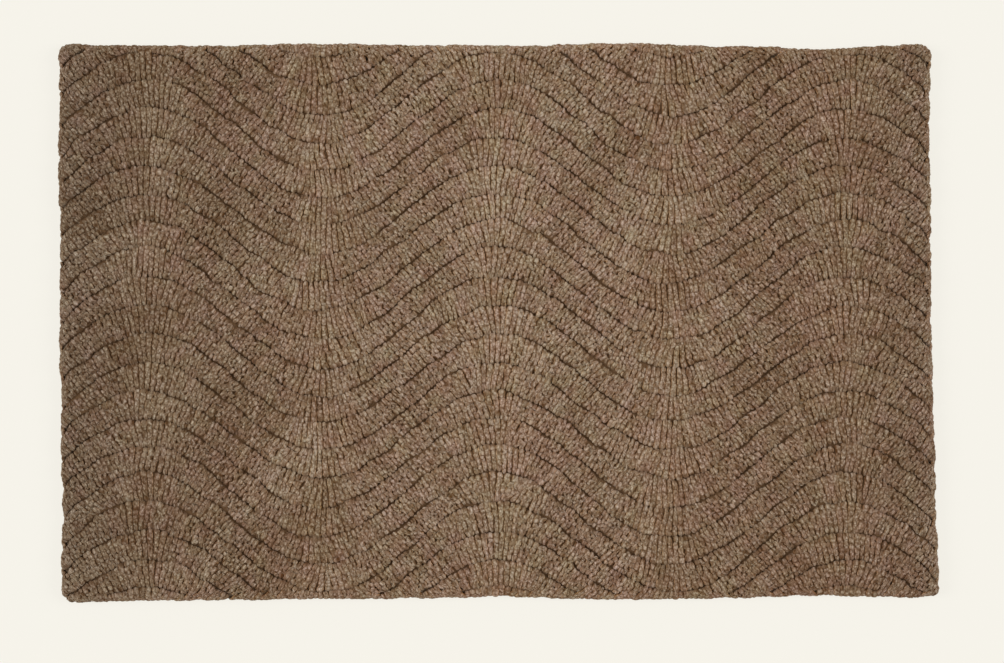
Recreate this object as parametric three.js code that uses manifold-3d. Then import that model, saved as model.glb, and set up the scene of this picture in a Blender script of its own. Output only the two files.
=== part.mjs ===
// A doormat of looped wool pile, lying flat. It is one piece: a thick pad whose pile stands in waving
// ribs with a groove between each two, and whose underside is plain and flat.
// Millimetres. +X runs along the long side, +Y across it and +Z up. The origin is on the underside, in
// the middle of the mat's box.

import * as THREE from 'three';
import { mergeVertices } from 'three/addons/utils/BufferGeometryUtils.js';
import Module from 'manifold-3d';

// The mat
const LENGTH = 700;
const WIDTH = 445;
const THICKNESS = 13;
const CORNER_RADIUS = 9;

// The ribs of pile, which run along the mat in waves
const RIB_PITCH = 22.5;
const GROOVE_DEPTH = 3.6;
const WAVE_LENGTH = 280;
const WAVE_HEIGHT = 36;
const WANDERS = [
  { height: 1.2, along: 310, across: 170, start: 0.15 },
  { height: 0.8, along: 135, across: -95, start: 0.6 },
];

// One rib's cross section, from a groove over the flat crown towards the next groove: the part of the
// pitch, and how far the pile lies below the crown there
const RIB_PROFILE = [
  { part: 0, drop: GROOVE_DEPTH },
  { part: 0.24, drop: 0 },
  { part: 0.76, drop: 0 },
];

// How far each side's edge stands out from its straight line, at parts of the way along it. The sides
// are given anticlockwise from above, each in that direction.
const SIDES = {
  front: [
    { along: 0, out: 2.6 },
    { along: 0.14, out: 1.6 },
    { along: 0.32, out: 0 },
    { along: 0.5, out: -0.8 },
    { along: 0.7, out: 0.8 },
    { along: 0.88, out: -2 },
    { along: 1, out: -1 },
  ],
  right: [
    { along: 0, out: 6.2 },
    { along: 0.06, out: 5 },
    { along: 0.18, out: 2.8 },
    { along: 0.4, out: 0.8 },
    { along: 0.5, out: -0.8 },
    { along: 0.72, out: -0.6 },
    { along: 0.82, out: -2.2 },
    { along: 1, out: -0.8 },
  ],
  back: [
    { along: 0, out: 0.4 },
    { along: 0.12, out: -2.8 },
    { along: 0.22, out: -0.8 },
    { along: 0.34, out: 1.2 },
    { along: 0.5, out: 0 },
    { along: 0.72, out: 1.2 },
    { along: 0.84, out: -0.6 },
    { along: 1, out: 0.4 },
  ],
  left: [
    { along: 0, out: 0.8 },
    { along: 0.26, out: 1 },
    { along: 0.38, out: -0.3 },
    { along: 0.55, out: 0.3 },
    { along: 0.68, out: -1 },
    { along: 0.86, out: -1.8 },
    { along: 1, out: -1.2 },
  ],
};

// The edge is drawn in a little wherever a groove runs out of it
const EDGE_NOTCH = 1.2;

// The pile rolls over at the edge: how far in the edge lies at each height. The last row is above the
// crowns, where the ribs' own height ends the solid.
const ABOVE_CROWNS = 1;
const EDGE_LEVELS = [
  { height: 0, inset: 1.2 },
  { height: 4.5, inset: 0 },
  { height: 9.5, inset: 1.4 },
  { height: THICKNESS + ABOVE_CROWNS, inset: 7.2 },
];

// How finely the shape is cut into flat faces
const LONG_SIDE_STEP = 10;
const SHORT_SIDE_STEP = 6.5;
const CORNER_STEPS = 4;
const WAVE_STEPS = 14;

const wasm = await Module();
wasm.setup();

// Small bends of the ribs by hand, on top of the even wave
function wander(x, y) {
  let shift = 0;
  for (const { height, along, across, start } of WANDERS) {
    shift += height * Math.sin(2 * Math.PI * (x / along + y / across + start));
  }
  return shift;
}

function wave(x) {
  return WAVE_HEIGHT * Math.cos((2 * Math.PI * x) / WAVE_LENGTH);
}

// Where the line that is this many pitches up from the middle rib line crosses this x
function ribLine(x, ribs) {
  const level = ribs * RIB_PITCH;
  return level + wave(x) + wander(x, level);
}

// The other way round: how many pitches up from the middle rib line a point is, to within a hundredth
function ribsAt(x, y) {
  const level = y - wave(x);
  return (level - wander(x, level)) / RIB_PITCH;
}

// A table's value at part of the way along a side, eased from each row to the next
function edgeOut(rows, along) {
  const next = Math.max(1, rows.findIndex((row) => row.along >= along));
  const from = rows[next - 1];
  const to = rows[next];
  const part = THREE.MathUtils.smoothstep(along, from.along, to.along);
  return THREE.MathUtils.lerp(from.out, to.out, part);
}

// Points around the mat, each with the direction that faces out there
function outline() {
  const halfLength = LENGTH / 2;
  const halfWidth = WIDTH / 2;
  const corners = [
    { x: -halfLength, y: -halfWidth, rows: SIDES.front, step: LONG_SIDE_STEP },
    { x: halfLength, y: -halfWidth, rows: SIDES.right, step: SHORT_SIDE_STEP },
    { x: halfLength, y: halfWidth, rows: SIDES.back, step: LONG_SIDE_STEP },
    { x: -halfLength, y: halfWidth, rows: SIDES.left, step: SHORT_SIDE_STEP },
  ];
  const points = [];
  const addPoint = (base, facing, out) => {
    const ribs = ribsAt(base.x, base.y);
    const notch = EDGE_NOTCH * (1 - Math.abs(Math.sin(Math.PI * ribs)));
    const place = base.clone().addScaledVector(facing, out - notch);
    points.push({ place, facing });
  };
  corners.forEach((corner, index) => {
    const start = new THREE.Vector2(corner.x, corner.y);
    const following = corners[(index + 1) % corners.length];
    const end = new THREE.Vector2(following.x, following.y);
    const along = end.clone().sub(start).normalize();
    const facing = new THREE.Vector2(along.y, -along.x);
    const run = start.distanceTo(end) - 2 * CORNER_RADIUS;
    const steps = Math.round(run / corner.step);
    for (let i = 0; i <= steps; i += 1) {
      const part = i / steps;
      const base = start.clone().addScaledVector(along, CORNER_RADIUS + part * run);
      addPoint(base, facing, edgeOut(corner.rows, part));
    }
    const centre = end.clone().addScaledVector(along, -CORNER_RADIUS).addScaledVector(facing, -CORNER_RADIUS);
    for (let i = 1; i < CORNER_STEPS; i += 1) {
      const part = i / CORNER_STEPS;
      const turned = facing.clone().rotateAround(new THREE.Vector2(), (part * Math.PI) / 2);
      const base = centre.clone().addScaledVector(turned, CORNER_RADIUS);
      const out = THREE.MathUtils.lerp(edgeOut(corner.rows, 1), edgeOut(following.rows, 0), part);
      addPoint(base, turned, out);
    }
  });
  return points;
}

function geometryFrom(positions, faces) {
  const geometry = new THREE.BufferGeometry();
  geometry.setAttribute('position', new THREE.Float32BufferAttribute(positions, 3));
  geometry.setIndex(faces);
  return geometry;
}

// The mat's outer form with no ribs: rings of the outline, one at each level, closed flat at both ends
function paddedForm(points) {
  const positions = [];
  const faces = [];
  const count = points.length;
  for (const { height, inset } of EDGE_LEVELS) {
    for (const { place, facing } of points) {
      positions.push(place.x - inset * facing.x, place.y - inset * facing.y, height);
    }
  }
  for (let level = 0; level < EDGE_LEVELS.length - 1; level += 1) {
    for (let i = 0; i < count; i += 1) {
      const a = level * count + i;
      const b = level * count + ((i + 1) % count);
      faces.push(a, b, b + count, a, b + count, a + count);
    }
  }
  const cap = THREE.ShapeUtils.triangulateShape(points.map(({ place }) => place), []);
  const top = (EDGE_LEVELS.length - 1) * count;
  for (const [a, b, c] of cap) {
    faces.push(a, c, b, top + a, top + b, top + c);
  }
  return geometryFrom(positions, faces);
}

// A block whose top is the pile's ribs and grooves. It reaches past the mat on every side.
function ribbedBlock() {
  const columnStep = WAVE_LENGTH / WAVE_STEPS;
  const columns = 2 * Math.ceil((LENGTH / 2 + CORNER_RADIUS) / columnStep);
  const ribReach = Math.ceil((WIDTH / 2 + WAVE_HEIGHT + CORNER_RADIUS) / RIB_PITCH);
  const lines = [];
  for (let rib = -ribReach; rib < ribReach; rib += 1) {
    for (const { part, drop } of RIB_PROFILE) {
      lines.push({ ribs: rib + part, height: THICKNESS - drop });
    }
  }
  const positions = [];
  const floor = -THICKNESS;
  for (const { ribs, height } of lines) {
    for (let column = 0; column <= columns; column += 1) {
      const x = (column - columns / 2) * columnStep;
      const y = ribLine(x, ribs);
      positions.push(x, y, height, x, y, floor);
    }
  }
  const at = (line, column, under) => 2 * (line * (columns + 1) + column) + under;
  const faces = [];
  const quad = (a, b, c, d) => faces.push(a, b, c, a, c, d);
  const last = lines.length - 1;
  for (let line = 0; line < last; line += 1) {
    for (let column = 0; column < columns; column += 1) {
      quad(at(line, column, 0), at(line, column + 1, 0), at(line + 1, column + 1, 0), at(line + 1, column, 0));
      quad(at(line, column, 1), at(line + 1, column, 1), at(line + 1, column + 1, 1), at(line, column + 1, 1));
    }
    quad(at(line, 0, 1), at(line, 0, 0), at(line + 1, 0, 0), at(line + 1, 0, 1));
    quad(at(line, columns, 0), at(line, columns, 1), at(line + 1, columns, 1), at(line + 1, columns, 0));
  }
  for (let column = 0; column < columns; column += 1) {
    quad(at(0, column, 0), at(0, column, 1), at(0, column + 1, 1), at(0, column + 1, 0));
    quad(at(last, column, 1), at(last, column, 0), at(last, column + 1, 0), at(last, column + 1, 1));
  }
  return geometryFrom(positions, faces);
}

function solidFrom(geometry) {
  const merged = mergeVertices(geometry);
  return new wasm.Manifold(
    new wasm.Mesh({
      numProp: 3,
      vertProperties: merged.attributes.position.array,
      triVerts: Uint32Array.from(merged.index.array),
    }),
  );
}

function matGeometry() {
  const { vertProperties, triVerts } = solidFrom(paddedForm(outline()))
    .intersect(solidFrom(ribbedBlock()))
    .getMesh();
  const geometry = geometryFrom(vertProperties, Array.from(triVerts));
  geometry.computeBoundingBox();
  const middle = geometry.boundingBox.getCenter(new THREE.Vector3());
  geometry.translate(-middle.x, -middle.y, -geometry.boundingBox.min.z);
  geometry.computeVertexNormals();
  return geometry;
}

const wool = new THREE.MeshStandardMaterial({ color: 0x77614d, roughness: 0.95, metalness: 0 });

const doormat = new THREE.Group();
const mat = new THREE.Mesh(matGeometry(), wool);
mat.name = 'mat';
doormat.add(mat);

export default doormat;
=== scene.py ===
"""A doormat of looped wool: a ground cloth, and thousands of yarn loops lying across its waving ribs.

Sizes here are in millimetres, and each mesh is scaled to metres as it is made. +X runs along the mat,
+Y across it and +Z up, with the origin on the underside, in the middle of the mat's box.

The pile is made as if the mat were unrolled: flat, and wide enough to cover its own edges. A height is
then measured from the crowns of the pile, and roll_over() bends the whole down around the edges.
"""

import math

import bpy
import numpy as np
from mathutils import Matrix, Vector

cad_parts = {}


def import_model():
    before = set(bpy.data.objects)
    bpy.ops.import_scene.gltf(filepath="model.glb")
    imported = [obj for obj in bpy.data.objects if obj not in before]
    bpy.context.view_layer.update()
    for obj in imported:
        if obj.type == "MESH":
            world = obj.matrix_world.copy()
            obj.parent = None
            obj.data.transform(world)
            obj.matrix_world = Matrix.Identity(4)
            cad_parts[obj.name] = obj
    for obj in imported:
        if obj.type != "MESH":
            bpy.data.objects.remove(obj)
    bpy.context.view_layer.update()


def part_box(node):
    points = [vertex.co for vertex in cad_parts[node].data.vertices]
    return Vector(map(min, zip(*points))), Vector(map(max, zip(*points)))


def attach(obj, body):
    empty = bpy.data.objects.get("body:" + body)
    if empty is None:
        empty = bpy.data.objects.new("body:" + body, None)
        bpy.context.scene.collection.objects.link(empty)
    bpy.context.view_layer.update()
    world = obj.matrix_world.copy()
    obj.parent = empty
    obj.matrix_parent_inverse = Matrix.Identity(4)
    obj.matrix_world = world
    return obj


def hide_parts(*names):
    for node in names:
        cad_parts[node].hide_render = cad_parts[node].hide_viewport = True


METRES = 0.001
SEED = 41

# The mat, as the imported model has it
LENGTH = 700
WIDTH = 445
THICKNESS = 13
CORNER_RADIUS = 9
RIB_PITCH = 22.5
WAVE_LENGTH = 280
WAVE_HEIGHT = 36
WANDERS = (
    {"height": 1.2, "along": 310, "across": 170, "start": 0.15},
    {"height": 0.8, "along": 135, "across": -95, "start": 0.6},
)

# How far each side's edge stands out from its straight line, at parts of the way along it. The sides
# are given anticlockwise from above, each in that direction.
SIDES = {
    "front": {
        "along": (0, 0.14, 0.32, 0.5, 0.7, 0.88, 1),
        "out": (2.6, 1.6, 0, -0.8, 0.8, -2, -1),
    },
    "right": {
        "along": (0, 0.06, 0.18, 0.4, 0.5, 0.72, 0.82, 1),
        "out": (6.2, 5, 2.8, 0.8, -0.8, -0.6, -2.2, -0.8),
    },
    "back": {
        "along": (0, 0.12, 0.22, 0.34, 0.5, 0.72, 0.84, 1),
        "out": (0.4, -2.8, -0.8, 1.2, 0, 1.2, -0.6, 0.4),
    },
    "left": {
        "along": (0, 0.26, 0.38, 0.55, 0.68, 0.86, 1),
        "out": (0.8, 1, -0.3, 0.3, -1, -1.8, -1.2),
    },
}

# The outline as points: their distance apart along the sides, how many go round a corner, and the least
# radius of a corner
OUTLINE_STEP = 4.0
CORNER_POINTS = 7
LEAST_RADIUS = 1.0

# The pile's edge: it turns down around this radius, and ends this far above the floor. No yarn reaches
# lower than the floor gap.
ROLL_RADIUS = 8.5
LIP_HEIGHT = 1.6
FLOOR_GAP = 0.15
DROP = THICKNESS - ROLL_RADIUS - LIP_HEIGHT
QUARTER_TURN = math.pi / 2 * ROLL_RADIUS
UNROLLED_REACH = DROP + QUARTER_TURN - ROLL_RADIUS

# The edge is drawn in where a groove runs out of it, in a notch that a higher power makes narrower
NOTCH = {"depth": 2.0, "power": 3}

# The loops are flatter and more even where they turn down: shares of their width, of their height and of
# their unevenness, at distances in from the edge
EDGE_CALM = {"inside": (0, 7), "width": (1.14, 1), "height": (0.6, 1), "uneven": (0.25, 1)}

# How the loops stand along their rib. They are finer where it is steep: shares of their spacing and
# height, at how steep it is, from 0 for level to 1 for upright.
LOOP_SPACING = 4.42
SPACING_SPREAD = 0.02
FINER = {"steepness": (0.15, 0.6), "spacing": (1, 0.75), "height": (1, 0.86)}

# Degrees that the loops slant from straight across their rib
SLANT = {"over_mat": 5.0, "by_loop": 1.0}

# A rib is measured in steps this long, and this many times as many loops are drawn as it should take
RIB_STEP = 0.5
SPARE_LOOPS = 1.3

# One yarn loop: the yarn's width and height, how far the loop's legs reach down and the radius in which
# they bend, which is at most a share of a short loop's length, and how far its ends lie below its middle
LOOP_WIDTH = 4.5
LOOP_HEIGHT = 4.7
LOOP_DEPTH = 5.0
LOOP_BEND = 0.7
MOST_BEND = 0.4
CROWN_DROP = 0.4

# How much lower than the crowns a loop lies
LOWERED = {"always": 0.4, "over_mat": 0.3, "by_loop": 0.3}

# The tube of a loop: stations along its top, the angles of the points around it from its top, the share
# of its size that its ends have, and how much a bend of its rib may narrow or widen it
TOP_STATIONS = 11
RING = np.radians((0, 34, 69, 112, 248, 291, 326))
END_SIZE = 0.82
FAN_LIMITS = (0.6, 1.45)

# A loop is left out where less than the shortest loop would be left of it inside the edge. Where too
# little lies past it for a loop of its own, it reaches on to the edge, which is looked for at samples.
SHORTEST_LOOP = 6.5
EDGE_SPARE = 1
EDGE_REACH = SHORTEST_LOOP + LOOP_WIDTH + EDGE_SPARE
EDGE_SAMPLES = 49

# How knobbly a loop is, from 0 to 1: by how far it slants from straight across the mat, up to the full
# slant, and by chance
KNOBBLY = {"full_slant": 0.5, "by_slant": 0.8, "by_chance": 0.2}

# The nubs of the thick and thin yarn: how many stations long they are at least, and at most in knobbly
# and in smooth loops, and how hard the yarn is pinched in between them, as a share
NUB_LENGTHS = {"shortest": 2, "knobbly": 3, "smooth": 4}
PINCHES = (0.4, 1.0)

# How much a loop's nubs differ in how they sway, rise and swell, and how far a pinch drops and narrows
# the yarn: in a smooth loop, and what a knobbly loop adds. A knobbly loop is thicker by the swell.
NUB_SWAY = (0.11, 0.4)
NUB_RISE = (0.1, 0.2)
NUB_SIZE = (0.03, 0.06)
PINCH_DROP = (0.8, 0.2)
PINCH_SIZE = (0.13, 0.09)
KNOBBLY_SWELL = 0.26

# How far a loop sways aside: over the mat, to and fro from nub to nub if it is knobbly, and by station
SWAY = {"over_mat": 0.5, "to_and_fro": 0.45, "by_station": 0.08}

# A groove: how far apart the loops' ends stand across it where it runs level and where it is steep, how
# much that varies from loop to loop and along the groove, and how far the groove itself strays. A loop's
# way to its groove is measured in rounds, each nearer than the last.
GROOVE = {"level": -1.7, "steep": 3.0, "by_loop": 0.5, "along": 0.45, "stray": 0.7}
GROOVE_ROUNDS = 3

# The pile is shared out over this many pieces
PILE_PIECES = 7

# The feet of the pile stand in a bed under each rib: its heights at parts of the pitch, the step in which
# it follows the rib, and how far in from the outline it ends
BED_PROFILE = {"part": (0, 0.12, 0.3, 0.7, 0.88), "height": (7.8, 9.5, 10.2, 10.2, 9.5)}
BED_STEP = 6.0
BED_INSET = 5.0

# So many ribs on each side of the middle rib line cover the mat
RIB_REACH = math.ceil((WIDTH / 2 + WAVE_HEIGHT + UNROLLED_REACH + CORNER_RADIUS) / RIB_PITCH)

# The ground cloth under the beds: how far in from the outline its edge lies at each height
GROUND_LEVELS = (
    {"height": 0, "inset": 2.4},
    {"height": 0.5, "inset": 1.8},
    {"height": 1.8, "inset": 1.8},
    {"height": 5.0, "inset": 3.4},
    {"height": 7.0, "inset": 5.0},
    {"height": 7.4, "inset": 8.0},
)

# A random draw lies at most this many spreads from 0, where that is held in
FARTHEST_DRAW = 2

# A soft variation over the mat is a sum of waves, whose lengths are its scale times shares between two
# limits. Its scale is about how far apart its bumps are.
NOISE_WAVES = 9
NOISE_LENGTHS = (0.7, 1.5)
NOISE_SCALES = {
    "slant": 40,
    "gap": 26,
    "stray": 24,
    "height": 70,
    "lean": 44,
    "tone": 90,
    "hue": 18,
    "wide_hue": 110,
}

# How much the yarn's tone and hue vary from loop to loop and over the mat
TONE = {"by_loop": 0.5, "over_mat": 0.35}
HUE = {"by_loop": 0.4, "over_mat": 0.7}

# The wool is lighter near a spot and darker far from it, by its tone times how far the falloff around the
# spot is above its balance. It is greyer at the mat's left and right ends, with a tone and hue of its own.
LIGHTER = {"x": 12, "y": 40, "along": 275, "across": 420, "balance": 0.5, "tone": 3.5}
GREYER_ENDS = (
    {"side": -1, "reach": 110, "share": 0.55, "tone": -1.3, "hue": -4.0},
    {"side": 1, "reach": 60, "share": 0.3, "tone": 2.0, "hue": -1.0},
)

# The crowded loops of a steep rib hide their sides and the redder painted shade on them, so they are given a
# redder yarn
REDDER_STEEP = {"from": 0.35, "hue": 0.8}

# The yarn of each loop is cut from another place in its texture, up to this far in
TEXTURE_REACH = 1000

# The yarn's texture: how long each kind of detail is, and how many there are around the yarn. The plies
# wind round it with a warp from the lumps, and a lower power makes the creases between them narrower.
LUMPS = {"length": 2.5, "around": 4.0, "detail": 3.0, "roughness": 0.65}
KNOTS = {"length": 2.1, "around": 7.5}
FIBRES = {"scale": 1000.0, "detail": 2.0, "roughness": 0.7}
PLIES = {"length": 5.5, "around": 2.6, "warp": 1.6, "power": 0.6}

# How strongly each part of that texture shows: as height, and as shade from its middle value. That shade is
# partly the yarn's heathered tone and partly painted shade: darker down in the creases between plies and the
# pits between knots, lighter on their tops.
YARN_DETAILS = {
    "ridge": {"height": 0.4, "middle": 0.75, "shade": 0.2},
    "lumps": {"height": 0.8, "middle": 0.5, "shade": 0.75},
    "knots": {"height": 1.15, "middle": 0.5, "shade": 0.88},
    "fibres": {"height": 0.4, "middle": 0.5, "shade": 0.75},
}
YARN_BUMP = {"strength": 1.0, "depth": 0.9}
SHADE = {"middle": 0.493, "by_tone": 0.07}

# The dye: how much the hue reddens the yarn and where it is more golden. Then the painted shade in the
# creases: how far round from the yarn's top its sides are painted darker and browner, and above which height.
# Last, how much colour the greyest wool keeps
REDNESS = {"middle": 0.5, "by_hue": 0.21}
GOLD_PATCHES = {"scale": 70.0, "detail": 2.0, "limits": (0.3, 0.7)}
PAINTED_SHADE_TURNS = (0.08, 0.25)
PAINTED_SHADE_LEVELS = (4, 8)
GREY_SATURATION = 0.75

# Plain woven cloth: how far apart its threads are, how strongly they show, and the grain of its yarn
CLOTH = {"thread_pitch": 3.0, "weave": 0.5, "grain_scale": 900.0, "grain_detail": 3.0}
CLOTH_BUMP = {"strength": 0.8, "depth": 0.5}

# The view: the camera looks straight down, and this much of the floor is as wide as its picture
CAMERA_LENS = 100
CAMERA_SENSOR = 36
VIEW_WIDTH = 807
VIEW_CENTRE = (2.3, -7.0)

# The floor lies a little below the mat. Shares of its colour are paint, which the lights shine on, and
# its own glow.
FLOOR_SIZE = 8000
FLOOR_BELOW = 0.3
FLOOR_PAINT = 0.12
FLOOR_GLOW = 0.886

# Soft light from all round, and two wide lights beyond the ends of the mat, with their angles in degrees
SKY_STRENGTH = 0.42
SUNS = (
    {"name": "left_light", "azimuth": 175, "elevation": 34, "strength": 1.65, "spread": 30},
    {"name": "right_light", "azimuth": 5, "elevation": 34, "strength": 1.4, "spread": 30},
)


def srgb(red, green, blue):
    """A colour given in 0 to 255, as the linear values that a shader takes."""
    shares = np.array((red, green, blue)) / 255
    linear = np.where(shares <= 0.04045, shares / 12.92, ((shares + 0.055) / 1.055) ** 2.4)
    return (*linear.tolist(), 1.0)


def scaled(colour, share):
    return (*(share * part for part in colour[:3]), 1.0)


# Colours of the wool by shade, and what its dye multiplies them by: from less to more red, and from less to
# more golden. The sides of the yarn are multiplied by a darker, browner painted shade for the creases.
WOOL_COLOURS = {0.0: srgb(92, 61, 31), 0.5: srgb(147, 123, 101), 1.0: srgb(202, 184, 166)}
REDS = (srgb(252, 254, 250), srgb(255, 243, 247))
GOLDS = (srgb(255, 255, 255), srgb(255, 255, 243))
SIDE_PAINTED_SHADE = (1.15, 0.86, 0.49, 1.0)
GROUND_COLOURS = (srgb(104, 84, 65), srgb(138, 116, 94))
# The feet of the pile are a darker wool than the loops: painted shade down in the grooves
FEET_PAINTED_SHADE_COLOURS = (srgb(92, 66, 44), srgb(122, 95, 69))
FLOOR_COLOUR = srgb(246, 243, 234)
WHITE = srgb(255, 255, 255)

# How wool takes the light: matt, with a faint sheen on the loops
MATT = {"Roughness": 0.95, "Specular IOR Level": 0.05}
SHEEN = {"Sheen Weight": 0.12, "Sheen Roughness": 0.6, "Sheen Tint": srgb(205, 165, 125)}
FLOOR_FINISH = {"Roughness": 0.9, "Specular IOR Level": 0.0}


def held_in(rng, shape):
    """Random values about 0 with a spread of about 1, none far out."""
    return rng.standard_normal(shape).clip(-FARTHEST_DRAW, FARTHEST_DRAW)


def soft_noise(rng, name):
    """The soft variation of this name: a smooth random function of x and y, about 0 with a spread of 1."""
    angle = rng.uniform(0, 2 * math.pi, NOISE_WAVES)
    length = NOISE_SCALES[name] * rng.uniform(*NOISE_LENGTHS, NOISE_WAVES)
    start = rng.uniform(0, 2 * math.pi, NOISE_WAVES)
    along = 2 * math.pi * np.cos(angle) / length
    across = 2 * math.pi * np.sin(angle) / length

    def value(x, y):
        turns = np.multiply.outer(x, along) + np.multiply.outer(y, across) + start
        return np.sin(turns).sum(-1) * math.sqrt(2 / NOISE_WAVES)

    return value


def wander(x, y):
    """Small bends of the ribs, on top of the even wave."""
    shift = 0
    for row in WANDERS:
        turns = x / row["along"] + y / row["across"] + row["start"]
        shift = shift + row["height"] * np.sin(2 * math.pi * turns)
    return shift


def wave(x):
    return WAVE_HEIGHT * np.cos(2 * math.pi * x / WAVE_LENGTH)


def rib_line(x, ribs):
    """Where the line this many pitches up from the middle rib line crosses x."""
    level = ribs * RIB_PITCH
    return level + wave(x) + wander(x, level)


def ribs_at(x, y):
    """The other way round, to within a hundredth of a pitch."""
    level = y - wave(x)
    return (level - wander(x, level)) / RIB_PITCH


def rib_slope(x, ribs):
    """The angle at which a rib line climbs."""
    return np.arctan2(rib_line(x + RIB_STEP, ribs) - rib_line(x - RIB_STEP, ribs), 2 * RIB_STEP)


def rib_bend(x, ribs):
    """How sharply a rib line bends: one over the radius of its bend."""
    climb = rib_line(x + 1, ribs) - 2 * rib_line(x, ribs) + rib_line(x - 1, ribs)
    return climb * np.cos(rib_slope(x, ribs)) ** 3


def edge_out(side, part):
    """How far the side's edge stands out at part of the way along it, eased from row to row."""
    along = np.array(SIDES[side]["along"])
    out = np.array(SIDES[side]["out"])
    part = np.clip(part, 0, 1)
    row = np.clip(np.searchsorted(along, part, side="right") - 1, 0, len(along) - 2)
    share = (part - along[row]) / (along[row + 1] - along[row])
    share = share * share * (3 - 2 * share)
    return out[row] + share * (out[row + 1] - out[row])


def inside_distance(x, y):
    """How far a point lies inside the mat's outline, and less than 0 outside it."""
    along_x = (x + LENGTH / 2 - CORNER_RADIUS) / (LENGTH - 2 * CORNER_RADIUS)
    along_y = (y + WIDTH / 2 - CORNER_RADIUS) / (WIDTH - 2 * CORNER_RADIUS)
    from_left = x + LENGTH / 2 + edge_out("left", 1 - along_y)
    from_right = LENGTH / 2 + edge_out("right", along_y) - x
    from_front = y + WIDTH / 2 + edge_out("front", along_x)
    from_back = WIDTH / 2 + edge_out("back", 1 - along_x) - y
    across = np.minimum(from_left, from_right)
    up = np.minimum(from_front, from_back)
    in_corner = (across < CORNER_RADIUS) & (up < CORNER_RADIUS)
    rounded = CORNER_RADIUS - np.hypot(CORNER_RADIUS - across, CORNER_RADIUS - up)
    return np.where(in_corner, rounded, np.minimum(across, up))


def inward(x, y):
    """The direction straight in from the nearest edge, as two arrays."""
    step = 0.5
    nearly_none = 1e-9
    dx = inside_distance(x + step, y) - inside_distance(x - step, y)
    dy = inside_distance(x, y + step) - inside_distance(x, y - step)
    size = np.maximum(np.hypot(dx, dy), nearly_none)
    return dx / size, dy / size


def notch(x, y, in_x, in_y):
    """How far the edge is drawn in where a groove runs out of it."""
    step = 1
    slope = np.arctan2(wave(x + step) - wave(x - step), 2 * step)
    crossing = np.abs(in_x * np.cos(slope) + in_y * np.sin(slope))
    nearness = 1 - np.abs(np.sin(math.pi * ribs_at(x, y)))
    return NOTCH["depth"] * crossing * nearness ** NOTCH["power"]


def roll_over(points):
    """Bends unrolled points, whose third value is the height above the crowns, down around the edges."""
    x, y, height = points[..., 0], points[..., 1], points[..., 2]
    in_x, in_y = inward(x, y)
    inside = inside_distance(x, y) - notch(x, y, in_x, in_y)
    unrolled = inside + UNROLLED_REACH
    turn = np.clip((unrolled - DROP) / ROLL_RADIUS, 0, math.pi / 2)
    flat = unrolled > DROP + QUARTER_TURN
    place = np.where(flat, inside, ROLL_RADIUS * (1 - np.cos(turn)))
    level = LIP_HEIGHT + np.minimum(unrolled, DROP) + ROLL_RADIUS * np.sin(turn)
    shift = place - inside - height * np.cos(turn)
    rolled = np.empty_like(points)
    rolled[..., 0] = x + in_x * shift
    rolled[..., 1] = y + in_y * shift
    rolled[..., 2] = level + height * np.sin(turn)
    return rolled


def loops_on_rib(rib, rng, slant_noise):
    """The loops across one rib, before the edge cuts them: a dict of arrays with one row a loop.

    The rib lies between two grooves, with its crown midway. way is the direction of a loop, low and high
    are where it meets its grooves, from its middle, bend is its rib's, and room is how much of the rib it
    has to itself.
    """
    crown = rib + 0.5
    reach = LENGTH / 2 + UNROLLED_REACH + CORNER_RADIUS
    x = np.arange(-reach, reach, RIB_STEP)
    y = rib_line(x, crown)
    steps = np.hypot(np.diff(x), np.diff(y))
    steepness = np.abs(np.diff(y)) / steps
    spacing = LOOP_SPACING * np.interp(steepness, FINER["steepness"], FINER["spacing"])
    passed = np.concatenate(([0], np.cumsum(steps / spacing)))
    apart = 1 + SPACING_SPREAD * held_in(rng, int(passed[-1] * SPARE_LOOPS))
    places = rng.uniform(0, 1) + np.cumsum(apart)
    x = np.interp(places[places < passed[-1]], passed, x)
    y = rib_line(x, crown)
    slope = rib_slope(x, crown)
    slant = np.radians(SLANT["over_mat"]) * slant_noise(x, y)
    slant += np.radians(SLANT["by_loop"]) * held_in(rng, len(x))
    heading = slope + math.pi / 2 + slant
    way = np.stack((np.cos(heading), np.sin(heading)), -1)
    ends = []
    for groove, sign in ((rib, -1), (rib + 1, 1)):
        distance = np.full(len(x), RIB_PITCH / 2) * np.cos(slope)
        for _ in range(GROOVE_ROUNDS):
            here = ribs_at(x + sign * way[:, 0] * distance, y + sign * way[:, 1] * distance)
            distance += sign * (groove - here) * RIB_PITCH * np.cos(slope)
        ends.append(sign * distance)
    return {
        "middle": np.stack((x, y), -1),
        "way": way,
        "low": ends[0],
        "high": ends[1],
        "bend": rib_bend(x, crown),
        "room": np.hypot(np.gradient(x), np.gradient(y)),
        "rib": np.full(len(x), rib),
    }


def cut_at_edge(loops):
    """Moves the ends of the loops that meet the edge of the unrolled pile, and says which are kept.

    A loop reaches on to the edge where too little would be left past it for a loop of its own.
    """
    middle, way = loops["middle"], loops["way"]
    low, high = loops["low"], loops["high"]
    share = np.linspace(0, 1, EDGE_SAMPLES)
    reach_low, reach_high = low - EDGE_REACH, high + EDGE_REACH
    along = reach_low[:, None] + (reach_high - reach_low)[:, None] * share
    x = middle[:, 0, None] + way[:, 0, None] * along
    y = middle[:, 1, None] + way[:, 1, None] * along
    within = inside_distance(x, y) + UNROLLED_REACH > LOOP_WIDTH / 2
    rows = np.arange(len(along))
    first = along[rows, within.argmax(1)]
    last = along[rows, len(share) - 1 - within[:, ::-1].argmax(1)]
    length = np.minimum(last, high) - np.maximum(first, low)
    loops["low"] = np.where(within[:, 0], low, first)
    loops["high"] = np.where(within[:, -1], high, last)
    return within.any(1) & (length > SHORTEST_LOOP)


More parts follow.
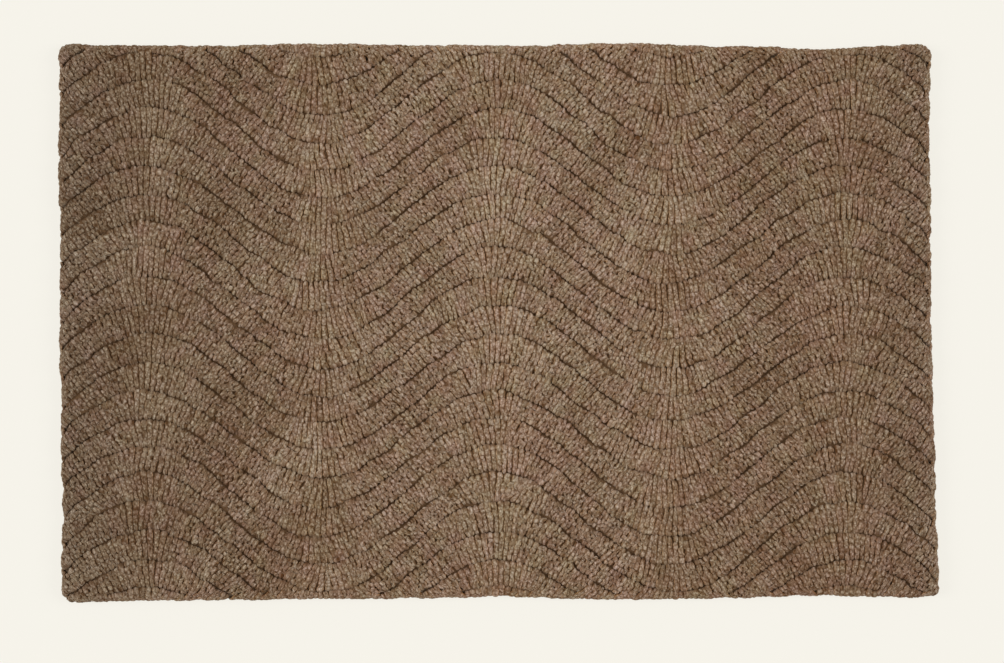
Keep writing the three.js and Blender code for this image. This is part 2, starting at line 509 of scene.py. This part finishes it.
def lay_out_loops(rng):
    """Every loop of the pile: a dict of arrays with one row a loop."""
    slant_noise = soft_noise(rng, "slant")
    gap_noise = soft_noise(rng, "gap")
    stray_noise = soft_noise(rng, "stray")
    found = []
    for rib in range(-RIB_REACH, RIB_REACH):
        loops = loops_on_rib(rib, rng, slant_noise)
        steepness = np.abs(loops["way"][:, 0])
        for sign, end in ((-1, "low"), (1, "high")):
            tip_x, tip_y = (loops["middle"] + loops["way"] * loops[end][:, None]).T
            gap = GROOVE["level"] + GROOVE["steep"] * steepness
            gap += GROOVE["along"] * gap_noise(tip_x, tip_y)
            gap += GROOVE["by_loop"] * held_in(rng, len(tip_x))
            loops[end] += GROOVE["stray"] * stray_noise(tip_x, tip_y) - sign * (LOOP_HEIGHT + gap) / 2
        keep = cut_at_edge(loops)
        found.append({key: values[keep] for key, values in loops.items()})
    return {key: np.concatenate([rows[key] for rows in found]) for key in found[0]}


def loop_paths(loops, rng):
    """The centre line of every loop: up out of one groove, over, and down into the next."""
    low, high = loops["low"][:, None], loops["high"][:, None]
    bend = np.minimum(LOOP_BEND, (high - low) * MOST_BEND)
    share = np.linspace(0, 1, TOP_STATIONS)

    # Halfway through a quarter turn, the path has come this share of the radius
    half_turned = 1 - math.sqrt(0.5)
    top = low + bend + (high - low - 2 * bend) * share
    along = np.concatenate((low, low + bend * half_turned, top, high - bend * half_turned, high), 1)
    crown = CROWN_DROP * (2 * share - 1) ** 2
    leg = np.array((LOOP_DEPTH, LOOP_BEND * half_turned)) + CROWN_DROP
    drop = np.concatenate((leg, crown, leg[::-1]))
    x, y = loops["middle"].T
    height_noise = soft_noise(rng, "height")
    lowered = LOWERED["always"] + LOWERED["over_mat"] * height_noise(x, y)
    lowered += LOWERED["by_loop"] * held_in(rng, len(x))
    lowered = np.maximum(lowered, 0)
    points = np.empty((*along.shape, 3))
    points[..., :2] = loops["middle"][:, None] + loops["way"][:, None] * along[..., None]
    points[..., 2] = -LOOP_HEIGHT / 2 - lowered[:, None] - drop
    return points, along


def nubs(loops, stations, rng):
    """The lumps that the thick and thin yarn falls into: which nub each station belongs to, how much it is
    pinched in there, and how knobbly each loop is.

    The loops are smooth where they lie straight across the mat, and knobbly where they slant.
    """
    count = len(loops["low"])
    slant = np.abs(loops["way"][:, 0])
    knobbly = np.clip(slant / KNOBBLY["full_slant"], 0, 1) * KNOBBLY["by_slant"]
    knobbly += KNOBBLY["by_chance"] * rng.uniform(0, 1, count)
    pinched = np.zeros((count, stations))
    rows = np.arange(count)
    station = rng.integers(1, NUB_LENGTHS["knobbly"] + 1, count)
    while station.min() < stations:
        inside = station < stations
        pinched[rows[inside], station[inside]] = rng.uniform(*PINCHES, inside.sum())
        longest = np.where(rng.uniform(0, 1, count) < knobbly, NUB_LENGTHS["knobbly"], NUB_LENGTHS["smooth"])
        station = station + rng.integers(NUB_LENGTHS["shortest"], longest + 1)
    nub = np.cumsum(pinched > 0, 1)
    return nub, pinched, knobbly[:, None]


def grown(sizes, knobbly):
    """The first size in a smooth loop, and the sum of the two in a knobbly one."""
    return sizes[0] + sizes[1] * knobbly


def edge_calm(name, inside):
    return np.interp(inside, EDGE_CALM["inside"], EDGE_CALM[name])


def unit(vectors):
    return vectors / np.linalg.norm(vectors, axis=-1, keepdims=True)


def loop_tubes(loops, rng):
    """Vertices of every loop's tube, (loops, stations, ring, 3), and the place of each along its yarn."""
    points, along = loop_paths(loops, rng)
    nub, pinched, knobbly = nubs(loops, along.shape[1], rng)

    def each_nub():
        return np.take_along_axis(held_in(rng, along.shape), nub, 1)

    side = np.stack((loops["way"][:, 1], -loops["way"][:, 0]), -1)[:, None]
    lean_noise = soft_noise(rng, "lean")
    to_and_fro = np.where(nub % 2 == 0, 1, -1)
    sway = SWAY["over_mat"] * lean_noise(points[..., 0], points[..., 1])
    sway += SWAY["to_and_fro"] * knobbly * to_and_fro
    sway += grown(NUB_SWAY, knobbly) * each_nub() + SWAY["by_station"] * held_in(rng, along.shape)
    points[..., :2] += side * sway[..., None]
    inside = inside_distance(points[..., 0], points[..., 1])
    uneven = edge_calm("uneven", inside)

    # The nubs lie a spread lower than they would, so that few of them rise above the crowns
    rise = grown(NUB_RISE, knobbly) * (each_nub() - 1) - grown(PINCH_DROP, knobbly) * pinched
    points[..., 2] += uneven * rise
    steps = np.linalg.norm(np.diff(points, axis=1), axis=-1)
    run = np.concatenate((np.zeros((len(points), 1)), np.cumsum(steps, 1)), 1)

    ahead = unit(np.gradient(points, axis=1))
    beside = np.zeros_like(points)
    beside[..., :2] = side
    above = unit(np.cross(beside, ahead))
    fan = (1 - loops["bend"][:, None] * along).clip(*FAN_LIMITS)
    spread = (loops["room"] / LOOP_SPACING)[:, None]
    size = grown(NUB_SIZE, knobbly) * each_nub() - grown(PINCH_SIZE, knobbly) * pinched
    size = 1 + KNOBBLY_SWELL * knobbly + uneven * size
    size[:, (0, -1)] *= END_SIZE
    half_width = LOOP_WIDTH / 2 * fan * spread * size * edge_calm("width", inside)
    steepness = np.abs(loops["way"][:, :1])
    flatness = np.interp(steepness, FINER["steepness"], FINER["height"]) * edge_calm("height", inside)
    half_height = LOOP_HEIGHT / 2 * size * flatness
    points[..., 2] += (1 / flatness - 1) * half_height
    outwards = (half_width[..., None] * np.sin(RING))[..., None]
    upwards = (half_height[..., None] * np.cos(RING))[..., None]
    tube = points[:, :, None] + beside[:, :, None] * outwards + above[:, :, None] * upwards
    return tube, run


def mesh_object(name, points, faces, material):
    """A mesh from arrays: points in millimetres, and a list of face arrays, one row a face."""
    mesh = bpy.data.meshes.new(name)
    corners = np.concatenate([rows.ravel() for rows in faces]).astype(np.int32)
    sizes = np.concatenate([np.full(len(rows), rows.shape[1]) for rows in faces])
    starts = np.concatenate(([0], np.cumsum(sizes)[:-1])).astype(np.int32)
    mesh.vertices.add(len(points))
    mesh.vertices.foreach_set("co", (points * METRES).astype(np.float32).ravel())
    mesh.loops.add(len(corners))
    mesh.loops.foreach_set("vertex_index", corners)
    mesh.polygons.add(len(sizes))
    mesh.polygons.foreach_set("loop_start", starts)
    mesh.update(calc_edges=True)
    mesh.validate()
    mesh.polygons.foreach_set("use_smooth", np.ones(len(mesh.polygons), bool))
    mesh.materials.append(material)
    piece = bpy.data.objects.new(name, mesh)
    bpy.context.scene.collection.objects.link(piece)
    return piece


def add_attribute(piece, name, values):
    attribute = piece.data.attributes.new(name, "FLOAT_VECTOR", "POINT")
    attribute.data.foreach_set("vector", values.astype(np.float32).ravel())


def tube_faces(count, stations):
    """Quads around every tube, and a cap at each end."""
    ring = len(RING)
    first = np.arange(count)[:, None, None] * stations * ring
    here = np.arange(stations - 1)[None, :, None] * ring
    turn = np.arange(ring)[None, None, :]
    following = (turn + 1) % ring
    corner = first + here + turn
    neighbour = first + here + following
    quads = np.stack((corner, corner + ring, neighbour + ring, neighbour), -1).reshape(-1, 4)
    start = first[:, 0] + turn[0]
    end = start + (stations - 1) * ring
    return [quads, np.concatenate((start, end[:, ::-1]))]


def yarn_tints(loops, rolled, rng):
    """The tone, hue and greyness of the yarn at every vertex."""
    tone_noise = soft_noise(rng, "tone")
    hue_noise = soft_noise(rng, "hue")
    wide_hue_noise = soft_noise(rng, "wide_hue")
    x, y = loops["middle"].T
    steepness = np.abs(loops["way"][:, 0])
    far_along = (x - LIGHTER["x"]) / LIGHTER["along"]
    far_across = (y - LIGHTER["y"]) / LIGHTER["across"]
    falloff = np.exp(-(far_along ** 2 + far_across ** 2))
    tone = TONE["by_loop"] * rng.standard_normal(len(x)) + TONE["over_mat"] * tone_noise(x, y)
    tone += LIGHTER["tone"] * (falloff - LIGHTER["balance"])
    loop_hue = HUE["by_loop"] * rng.standard_normal(len(x)) + HUE["over_mat"] * wide_hue_noise(x, y)
    loop_hue += REDDER_STEEP["hue"] * (steepness - REDDER_STEEP["from"])
    grey = np.zeros(len(x))
    for end in GREYER_ENDS:
        nearness = end["share"] * np.exp(-(LENGTH / 2 - end["side"] * x) / end["reach"])
        grey += nearness
        tone += end["tone"] * nearness
        loop_hue += end["hue"] * nearness
    tint = np.empty(rolled.shape)
    tint[..., 0] = tone[:, None, None]
    tint[..., 1] = hue_noise(rolled[..., 0], rolled[..., 1]) + loop_hue[:, None, None]
    tint[..., 2] = grey[:, None, None]
    return tint


def make_pile(material, shift, rng):
    """The pile as a few pieces, each a band of ribs."""
    loops = lay_out_loops(rng)
    tube, run = loop_tubes(loops, rng)
    rolled = roll_over(tube)
    rolled[..., 2] = np.maximum(rolled[..., 2], FLOOR_GAP)
    tint = yarn_tints(loops, rolled, rng)
    count, stations = run.shape
    yarn = np.empty(rolled.shape)
    yarn[..., 0] = run[:, :, None]
    yarn[..., 1] = np.where(RING > math.pi, RING - 2 * math.pi, RING) / (2 * math.pi)
    yarn[..., 2] = rng.uniform(0, TEXTURE_REACH, count)[:, None, None]
    before = np.searchsorted(loops["rib"], loops["rib"])
    band = before * PILE_PIECES // count
    pieces = []
    for index in range(PILE_PIECES):
        chosen = band == index
        points = rolled[chosen].reshape(-1, 3) + shift
        piece = mesh_object(f"pile_{index + 1}", points, tube_faces(chosen.sum(), stations), material)
        add_attribute(piece, "yarn", yarn[chosen])
        add_attribute(piece, "tint", tint[chosen])
        pieces.append(piece)
    return pieces


def outline(inset):
    """Points on the line this far inside the mat's outline, anticlockwise from above."""
    radius = max(CORNER_RADIUS - inset, LEAST_RADIUS)
    right, back = LENGTH / 2 - inset - radius, WIDTH / 2 - inset - radius
    corners = ((right, -back, -90), (right, back, 0), (-right, back, 90), (-right, -back, 180))
    bases, facings = [], []
    for index, (x, y, start) in enumerate(corners):
        for degrees in np.linspace(start, start + 90, CORNER_POINTS):
            way = np.array((math.cos(math.radians(degrees)), math.sin(math.radians(degrees))))
            bases.append(np.array((x, y)) + radius * way)
            facings.append(way)
        next_x, next_y, _ = corners[(index + 1) % len(corners)]
        first = np.array((x, y)) + radius * way
        last = np.array((next_x, next_y)) + radius * way
        count = round((WIDTH if index % 2 == 0 else LENGTH) / OUTLINE_STEP)
        for share in np.arange(1, count) / count:
            bases.append(first + share * (last - first))
            facings.append(way)
    bases, facings = np.array(bases), np.array(facings)
    excess = inside_distance(bases[:, 0], bases[:, 1]) - inset
    return bases + facings * excess[:, None]


def make_beds(material, shift):
    """The feet of the pile, packed into a bed under each rib with a furrow along each groove."""
    columns = np.arange(-LENGTH / 2, LENGTH / 2 + BED_STEP, BED_STEP)
    profile = list(zip(BED_PROFILE["part"], BED_PROFILE["height"]))
    rows = [(rib + part, height) for rib in range(-RIB_REACH, RIB_REACH) for part, height in profile]
    rows = np.array(rows)
    x, ribs = np.meshgrid(columns, rows[:, 0])
    y = rib_line(x, ribs)
    height = np.repeat(rows[:, 1:], len(columns), 1)
    inside = inside_distance(x, y) > BED_INSET
    kept = inside[:-1, :-1] & inside[:-1, 1:] & inside[1:, 1:] & inside[1:, :-1]
    number = np.arange(x.size).reshape(x.shape)
    quads = np.stack((number[:-1, :-1], number[:-1, 1:], number[1:, 1:], number[1:, :-1]), -1)[kept]
    used, quads = np.unique(quads, return_inverse=True)
    points = np.stack((x, y, height), -1).reshape(-1, 3)[used]
    return mesh_object("pile_feet", points + shift, [quads.reshape(-1, 4)], material)


def make_ground(material, shift):
    """The ground cloth under the pile: flat below, and drawn in under the loops at its edge."""
    rings = []
    for row in GROUND_LEVELS:
        points = outline(row["inset"])
        rings.append(np.column_stack((points, np.full(len(points), row["height"]))))
    count = len(rings[0])
    here = np.arange(count)
    after = (here + 1) % count
    around = np.stack((here, after, after + count, here + count), -1)
    quads = [around + level * count for level in range(len(rings) - 1)]
    caps = [here[None, ::-1], here[None] + count * (len(rings) - 1)]
    return mesh_object("mat_ground", np.concatenate(rings) + shift, [*quads, *caps], material)


def set_inputs(tree, node, inputs):
    """Sets inputs of a node, each to a value or to another node's output."""
    for key, value in inputs.items():
        if isinstance(value, bpy.types.NodeSocket):
            tree.links.new(value, node.inputs[key])
        else:
            node.inputs[key].default_value = value


def new_node(tree, kind, settings=None, inputs=None):
    """A node with its settings and inputs, each by name or number."""
    node = tree.nodes.new(kind)
    for key, value in (settings or {}).items():
        setattr(node, key, value)
    set_inputs(tree, node, inputs or {})
    return node


def math_node(tree, operation, *values):
    node = new_node(tree, "ShaderNodeMath", {"operation": operation}, dict(enumerate(values)))
    return node.outputs[0]


def added_up(tree, start, parts):
    """The start plus each part times its strength."""
    total = start
    for part, strength in parts:
        total = math_node(tree, "ADD", total, math_node(tree, "MULTIPLY", part, strength))
    return total


def share_between(tree, value, low, high):
    """How far a value has come from low to high: 0 to 1, and no further."""
    inputs = {"Value": value, "From Min": low, "From Max": high}
    return new_node(tree, "ShaderNodeMapRange", inputs=inputs).outputs[0]


def noise(tree, place, detail, roughness=0.5, scale=1.0):
    inputs = {"Vector": place, "Scale": scale, "Detail": detail, "Roughness": roughness}
    return new_node(tree, "ShaderNodeTexNoise", {"noise_dimensions": "3D"}, inputs).outputs[0]


def joined(tree, *parts):
    return new_node(tree, "ShaderNodeCombineXYZ", inputs=dict(enumerate(parts))).outputs[0]


def split(tree, vector):
    return new_node(tree, "ShaderNodeSeparateXYZ", inputs={0: vector}).outputs


def mixed_colour(tree, share, first, second, blend="MIX"):
    """A mix of two colours, which are inputs 6 and 7 and output 2 of the node."""
    settings = {"data_type": "RGBA", "blend_type": blend}
    return new_node(tree, "ShaderNodeMix", settings, {0: share, 6: first, 7: second}).outputs[2]


def multiplied(tree, first, second):
    return mixed_colour(tree, 1.0, first, second, "MULTIPLY")


def bump(tree, height, strength, depth):
    inputs = {"Strength": strength, "Distance": depth * METRES, "Height": height}
    return new_node(tree, "ShaderNodeBump", inputs=inputs).outputs[0]


def new_material(name):
    material = bpy.data.materials.new(name)
    material.use_nodes = True
    tree = material.node_tree
    tree.nodes.clear()
    output = tree.nodes.new("ShaderNodeOutputMaterial")
    shader = tree.nodes.new("ShaderNodeBsdfPrincipled")
    tree.links.new(shader.outputs[0], output.inputs[0])
    return material, tree, shader


def attribute_parts(tree, name):
    attribute = new_node(tree, "ShaderNodeAttribute", {"attribute_name": name})
    return split(tree, attribute.outputs["Vector"])


def counted(tree, run, turn, kind):
    """How many details of this kind there are up to here, along the yarn and around it."""
    along = math_node(tree, "DIVIDE", run, kind["length"])
    around = math_node(tree, "MULTIPLY", turn, kind["around"])
    return along, around


def yarn_details(tree, place, run, turn, seed):
    """The parts of the yarn's texture, by name."""
    # Lumps of the spun yarn, longer than wide, with knots and finer fibres on them
    over_lumps = joined(tree, *counted(tree, run, turn, LUMPS), seed)
    lumps = noise(tree, over_lumps, LUMPS["detail"], LUMPS["roughness"])
    over_knots = joined(tree, *counted(tree, run, turn, KNOTS), seed)
    cells = new_node(tree, "ShaderNodeTexVoronoi", {"voronoi_dimensions": "3D", "feature": "F1"},
                     {"Vector": over_knots, "Scale": 1.0})
    knots = math_node(tree, "SUBTRACT", 1.0, cells.outputs["Distance"])
    fibres = noise(tree, place, **FIBRES)

    # The creases between the plies, winding round the yarn
    lumps_middle = YARN_DETAILS["lumps"]["middle"]
    warp = math_node(tree, "MULTIPLY", math_node(tree, "SUBTRACT", lumps, lumps_middle), PLIES["warp"])
    ply = math_node(tree, "ADD", *counted(tree, run, turn, PLIES))
    ply = math_node(tree, "ADD", math_node(tree, "ADD", ply, seed), warp)
    ridge = math_node(tree, "ABSOLUTE", math_node(tree, "SINE", math_node(tree, "MULTIPLY", ply, math.pi)))
    ridge = math_node(tree, "POWER", ridge, PLIES["power"])
    return {"ridge": ridge, "lumps": lumps, "knots": knots, "fibres": fibres}


def wool_material():
    """Heathered wool yarn, which reads the yarn and tint attributes of its piece."""
    material, tree, shader = new_material("looped_wool")
    run, turn, seed = attribute_parts(tree, "yarn")
    tone, hue, grey = attribute_parts(tree, "tint")
    place = new_node(tree, "ShaderNodeNewGeometry").outputs["Position"]
    heights, shades = [], []
    for name, detail in yarn_details(tree, place, run, turn, seed).items():
        shows = YARN_DETAILS[name]
        heights.append((detail, shows["height"]))
        shades.append((math_node(tree, "SUBTRACT", detail, shows["middle"]), shows["shade"]))

    # Browns by shade: the loop's own tone, then the details, which give a heathered tone and also paint shade
    # into the yarn's creases and pits
    shade = added_up(tree, SHADE["middle"], [(tone, SHADE["by_tone"]), *shades])
    ramp = new_node(tree, "ShaderNodeValToRGB", inputs={0: shade})
    stops = ramp.color_ramp.elements
    while len(stops) < len(WOOL_COLOURS):
        stops.new(1.0)
    for stop, (position, colour) in zip(stops, WOOL_COLOURS.items()):
        stop.position = position
        stop.color = colour

    # Patches that took the dye differently: some redder, and others more golden
    share = added_up(tree, REDNESS["middle"], [(hue, REDNESS["by_hue"])])
    redness = new_node(tree, "ShaderNodeClamp", inputs={"Value": share}).outputs[0]
    goldness = noise(tree, place, GOLD_PATCHES["detail"], scale=GOLD_PATCHES["scale"])
    goldness = share_between(tree, goldness, *GOLD_PATCHES["limits"])
    colour = multiplied(tree, ramp.outputs[0], mixed_colour(tree, redness, *REDS))
    colour = multiplied(tree, colour, mixed_colour(tree, goldness, *GOLDS))

    # Painted shade: the yarn's sides, down in the creases but not at the mat's lip, are painted darker and
    # browner
    painted_shade_share = share_between(tree, math_node(tree, "ABSOLUTE", turn), *PAINTED_SHADE_TURNS)
    level = split(tree, place)[2]
    painted_shade_height = share_between(tree, level, *(height * METRES for height in PAINTED_SHADE_LEVELS))
    painted_shade_share = math_node(tree, "MULTIPLY", painted_shade_share, painted_shade_height)
    colour = mixed_colour(tree, painted_shade_share, colour, multiplied(tree, colour, SIDE_PAINTED_SHADE))
    greying = {"Saturation": GREY_SATURATION, "Color": colour}
    greyed = new_node(tree, "ShaderNodeHueSaturation", inputs=greying).outputs[0]
    colour = mixed_colour(tree, grey, colour, greyed)
    normal = bump(tree, added_up(tree, 0.0, heights), **YARN_BUMP)
    set_inputs(tree, shader, {"Base Color": colour, "Normal": normal, **MATT, **SHEEN})
    return material


def cloth_material(name, dark, light):
    """Plain woven cloth, whose grain goes from the dark colour to the light one."""
    material, tree, shader = new_material(name)
    place = new_node(tree, "ShaderNodeNewGeometry").outputs["Position"]
    turning = 2 * math.pi / (CLOTH["thread_pitch"] * METRES)
    x, y, _ = split(tree, place)
    threads = [math_node(tree, "SINE", math_node(tree, "MULTIPLY", part, turning)) for part in (x, y)]
    weave = math_node(tree, "MULTIPLY", *threads)
    grain = noise(tree, place, CLOTH["grain_detail"], scale=CLOTH["grain_scale"])
    normal = bump(tree, added_up(tree, grain, [(weave, CLOTH["weave"])]), **CLOTH_BUMP)
    set_inputs(tree, shader, {"Base Color": mixed_colour(tree, grain, dark, light), "Normal": normal, **MATT})
    return material


def make_floor():
    """A pale floor that mostly glows, so that the mat hardly shades it."""
    material, tree, shader = new_material("floor")
    glow = {"Emission Color": FLOOR_COLOUR, "Emission Strength": FLOOR_GLOW}
    set_inputs(tree, shader, {"Base Color": scaled(FLOOR_COLOUR, FLOOR_PAINT), **glow, **FLOOR_FINISH})
    half = FLOOR_SIZE / 2
    points = [(x, y, -FLOOR_BELOW) for x, y in ((-half, -half), (half, -half), (half, half), (-half, half))]
    floor = mesh_object("floor", np.array(points), [np.arange(len(points))[None]], material)


def add_sun(name, azimuth, elevation, strength, spread):
    """A far light in this direction, spread over an angle. All angles are in degrees."""
    light = bpy.data.lights.new(name, "SUN")
    light.energy = strength
    light.angle = math.radians(spread)
    lamp = bpy.data.objects.new(name, light)
    around, up = math.radians(azimuth), math.radians(elevation)
    towards = Vector((math.cos(around) * math.cos(up), math.sin(around) * math.cos(up), math.sin(up)))
    lamp.rotation_euler = towards.to_track_quat("Z", "Y").to_euler()
    bpy.context.scene.collection.objects.link(lamp)


def light_scene():
    world = bpy.data.worlds.new("soft_light")
    bpy.context.scene.world = world
    world.use_nodes = True
    sky = world.node_tree.nodes["Background"]
    set_inputs(world.node_tree, sky, {"Color": WHITE, "Strength": SKY_STRENGTH})
    for sun in SUNS:
        add_sun(**sun)
    bpy.context.scene.view_settings.view_transform = "Standard"


def make_camera(centre):
    data = bpy.data.cameras.new("camera")
    data.lens = CAMERA_LENS
    data.sensor_width = CAMERA_SENSOR
    distance = VIEW_WIDTH * METRES * CAMERA_LENS / CAMERA_SENSOR
    camera = bpy.data.objects.new("camera", data)
    camera.location = (centre[0] * METRES, centre[1] * METRES, distance)
    bpy.context.scene.collection.objects.link(camera)
    bpy.context.scene.camera = camera


def main():
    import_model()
    make_camera(VIEW_CENTRE)
    light_scene()
    make_floor()
    rng = np.random.default_rng(SEED)

    # The outline is drawn about the mat's nominal middle, and the frame's origin is the middle of its box
    low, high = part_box("mat")
    edge = outline(0)
    shift = np.zeros(3)
    shift[:2] = np.array(low + high)[:2] / 2 / METRES - (edge.min(0) + edge.max(0)) / 2
    cloth = cloth_material("ground_cloth", *GROUND_COLOURS)
    # The feet's darker wool is painted shade in the grooves
    feet = cloth_material("feet_wool_with_painted_shade", *FEET_PAINTED_SHADE_COLOURS)
    ground = make_ground(cloth, shift)
    pile = [make_beds(feet, shift), *make_pile(wool_material(), shift, rng)]
    for piece in (ground, *pile):
        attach(piece, "root")
    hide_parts("mat")


main()
